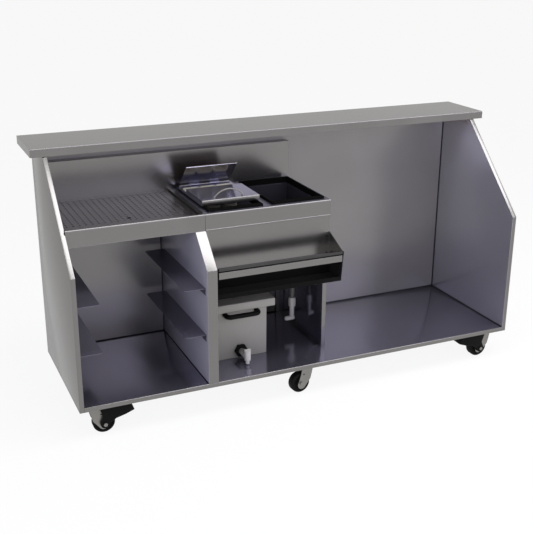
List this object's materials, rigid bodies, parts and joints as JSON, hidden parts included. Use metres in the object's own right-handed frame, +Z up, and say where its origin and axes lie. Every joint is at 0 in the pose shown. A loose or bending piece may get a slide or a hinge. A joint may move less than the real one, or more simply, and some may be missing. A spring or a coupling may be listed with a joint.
{
  "type": "mobile bar unit",
  "caption": "Stainless mobile bar on casters with raised bar top, drainboard, ice bin with condiment tray, speed rail, glass rack slides and a waste tank under the bin.",
  "frame": {"origin": "on the floor, under the middle of the unit's overall plan outline", "axes": "+X along the bar to the bartender's right, +Y away from the bartender towards the guests, +Z up"},
  "size_m": [2.092, 0.653, 1.083],
  "materials": {
    "steel": "fine satin stainless steel",
    "zinc": "bright zinc plate",
    "plywood": "raw board",
    "foam": "rigid insulation foam",
    "black_plastic": "matte black moulded plastic",
    "grey_plastic": "pale grey moulded plastic",
    "white_plastic": "white moulded plastic",
    "beige_plastic": "beige moulded plastic",
    "tyre": "black rubber"
  },
  "bodies": {
    "cabinet": {"left_end_panel": "steel", "right_end_panel": "steel", "back_panel": "steel", "base_deck": "steel", "deck_channels": "zinc", "bar_top": "steel", "bar_top_core": "plywood", "centre_divider": "steel", "rack_slides_left": "steel", "rack_slides_right": "steel", "backsplash": "steel", "drainboard_pan": "steel", "bin_top": "steel", "bin_casing": "steel", "bin_liner": "steel", "bin_foam": "foam", "bin_collar_left": "black_plastic", "bin_collar_right": "black_plastic", "bin_side_panel": "steel", "drain_pipe": "grey_plastic", "drain_coupling": "white_plastic", "drain_valve": "white_plastic", "rail_trough": "black_plastic", "rail_left_end": "steel", "rail_right_end": "steel", "rail_bar": "steel", "rail_top_lip": "steel", "rail_edging": "black_plastic", "rail_screws": "zinc", "caster_plates": "zinc"},
    "insert": {"drainboard_insert": "steel"},
    "drain_tap": {"drain_handle": "white_plastic"},
    "tank": {"tank_body": "grey_plastic", "tank_handle": "black_plastic", "tank_nut": "black_plastic", "tap_body": "white_plastic"},
    "tank_cover": {"tank_lid": "grey_plastic"},
    "tank_tap": {"tap_knob": "white_plastic"},
    "tray": {"condiment_tray": "steel", "condiment_cup_1": "beige_plastic", "condiment_cup_2": "beige_plastic", "condiment_cup_3": "beige_plastic", "lid_hinge_pin": "steel", "tray_handle": "beige_plastic"},
    "lid": {"condiment_lid": "steel"},
    "fork_front_left": {"caster_fork_front_left": "zinc"},
    "wheel_front_left": {"caster_wheel_front_left": "tyre"},
    "pedal_front_left": {"brake_pedal_front_left": "black_plastic"},
    "fork_front_centre": {"caster_fork_front_centre": "zinc"},
    "wheel_front_centre": {"caster_wheel_front_centre": "tyre"},
    "fork_front_right": {"caster_fork_front_right": "zinc"},
    "wheel_front_right": {"caster_wheel_front_right": "tyre"},
    "pedal_front_right": {"brake_pedal_front_right": "black_plastic"},
    "fork_rear_left": {"caster_fork_rear_left": "zinc"},
    "wheel_rear_left": {"caster_wheel_rear_left": "tyre"},
    "fork_rear_centre": {"caster_fork_rear_centre": "zinc"},
    "wheel_rear_centre": {"caster_wheel_rear_centre": "tyre"},
    "fork_rear_right": {"caster_fork_rear_right": "zinc"},
    "wheel_rear_right": {"caster_wheel_rear_right": "tyre"}
  },
  "joints": [
    {"name": "insert_lift", "type": "slide", "parent": "cabinet", "child": "insert", "axis": [0, 0, 1], "range_m": [0, 0.06]},
    {"name": "drain_valve_turn", "type": "hinge", "parent": "cabinet", "child": "drain_tap", "pos_m": [0.062, 0.0185, 0.212], "axis": [0, 0, 1], "range_deg": [0, 90]},
    {"name": "tank_slide", "type": "slide", "parent": "cabinet", "child": "tank", "axis": [0, -1, 0], "range_m": [0, 0.18]},
    {"name": "tank_lid_lift", "type": "slide", "parent": "tank", "child": "tank_cover", "axis": [0, 0, 1], "range_m": [0, 0.06]},
    {"name": "tank_tap_turn", "type": "hinge", "parent": "tank", "child": "tank_tap", "pos_m": [-0.256, -0.2185, 0.205], "axis": [0, 0, 1], "range_deg": [0, 90]},
    {"name": "tray_slide", "type": "slide", "parent": "cabinet", "child": "tray", "axis": [0, -1, 0], "range_m": [0, 0.04]},
    {"name": "lid_hinge", "type": "hinge", "parent": "tray", "child": "lid", "pos_m": [-0.289, 0.1875, 0.8375], "axis": [-1, 0, 0], "range_deg": [-37, 50]},
    {"name": "swivel_front_left", "type": "hinge", "parent": "cabinet", "child": "fork_front_left", "pos_m": [-0.931, -0.2695, 0.11], "axis": [0, 0, 1], "continuous": true},
    {"name": "spin_front_left", "type": "hinge", "parent": "fork_front_left", "child": "wheel_front_left", "pos_m": [-0.898, -0.2695, 0.045], "axis": [0, 1, 0], "continuous": true},
    {"name": "brake_front_left", "type": "hinge", "parent": "fork_front_left", "child": "pedal_front_left", "pos_m": [-0.898, -0.2695, 0.045], "axis": [0, 1, 0], "range_deg": [0, 12]},
    {"name": "swivel_front_centre", "type": "hinge", "parent": "cabinet", "child": "fork_front_centre", "pos_m": [-0.007, -0.2695, 0.11], "axis": [0, 0, 1], "continuous": true},
    {"name": "spin_front_centre", "type": "hinge", "parent": "fork_front_centre", "child": "wheel_front_centre", "pos_m": [-0.03982, -0.27295, 0.045], "axis": [0.1045, -0.9945, 0], "continuous": true},
    {"name": "swivel_front_right", "type": "hinge", "parent": "cabinet", "child": "fork_front_right", "pos_m": [0.917, -0.2695, 0.11], "axis": [0, 0, 1], "continuous": true},
    {"name": "spin_front_right", "type": "hinge", "parent": "fork_front_right", "child": "wheel_front_right", "pos_m": [0.884, -0.2695, 0.045], "axis": [0, -1, 0], "continuous": true},
    {"name": "brake_front_right", "type": "hinge", "parent": "fork_front_right", "child": "pedal_front_right", "pos_m": [0.884, -0.2695, 0.045], "axis": [0, -1, 0], "range_deg": [0, 12]},
    {"name": "swivel_rear_left", "type": "hinge", "parent": "cabinet", "child": "fork_rear_left", "pos_m": [-0.931, 0.2235, 0.11], "axis": [0, 0, 1], "continuous": true},
    {"name": "spin_rear_left", "type": "hinge", "parent": "fork_rear_left", "child": "wheel_rear_left", "pos_m": [-0.898, 0.2235, 0.045], "axis": [0, 1, 0], "continuous": true},
    {"name": "swivel_rear_centre", "type": "hinge", "parent": "cabinet", "child": "fork_rear_centre", "pos_m": [-0.007, 0.2235, 0.11], "axis": [0, 0, 1], "continuous": true},
    {"name": "spin_rear_centre", "type": "hinge", "parent": "fork_rear_centre", "child": "wheel_rear_centre", "pos_m": [-0.03982, 0.22695, 0.045], "axis": [-0.1045, -0.9945, 0], "continuous": true},
    {"name": "swivel_rear_right", "type": "hinge", "parent": "cabinet", "child": "fork_rear_right", "pos_m": [0.917, 0.2235, 0.11], "axis": [0, 0, 1], "continuous": true},
    {"name": "spin_rear_right", "type": "hinge", "parent": "fork_rear_right", "child": "wheel_rear_right", "pos_m": [0.884, 0.2235, 0.045], "axis": [0, -1, 0], "continuous": true}
  ]
}
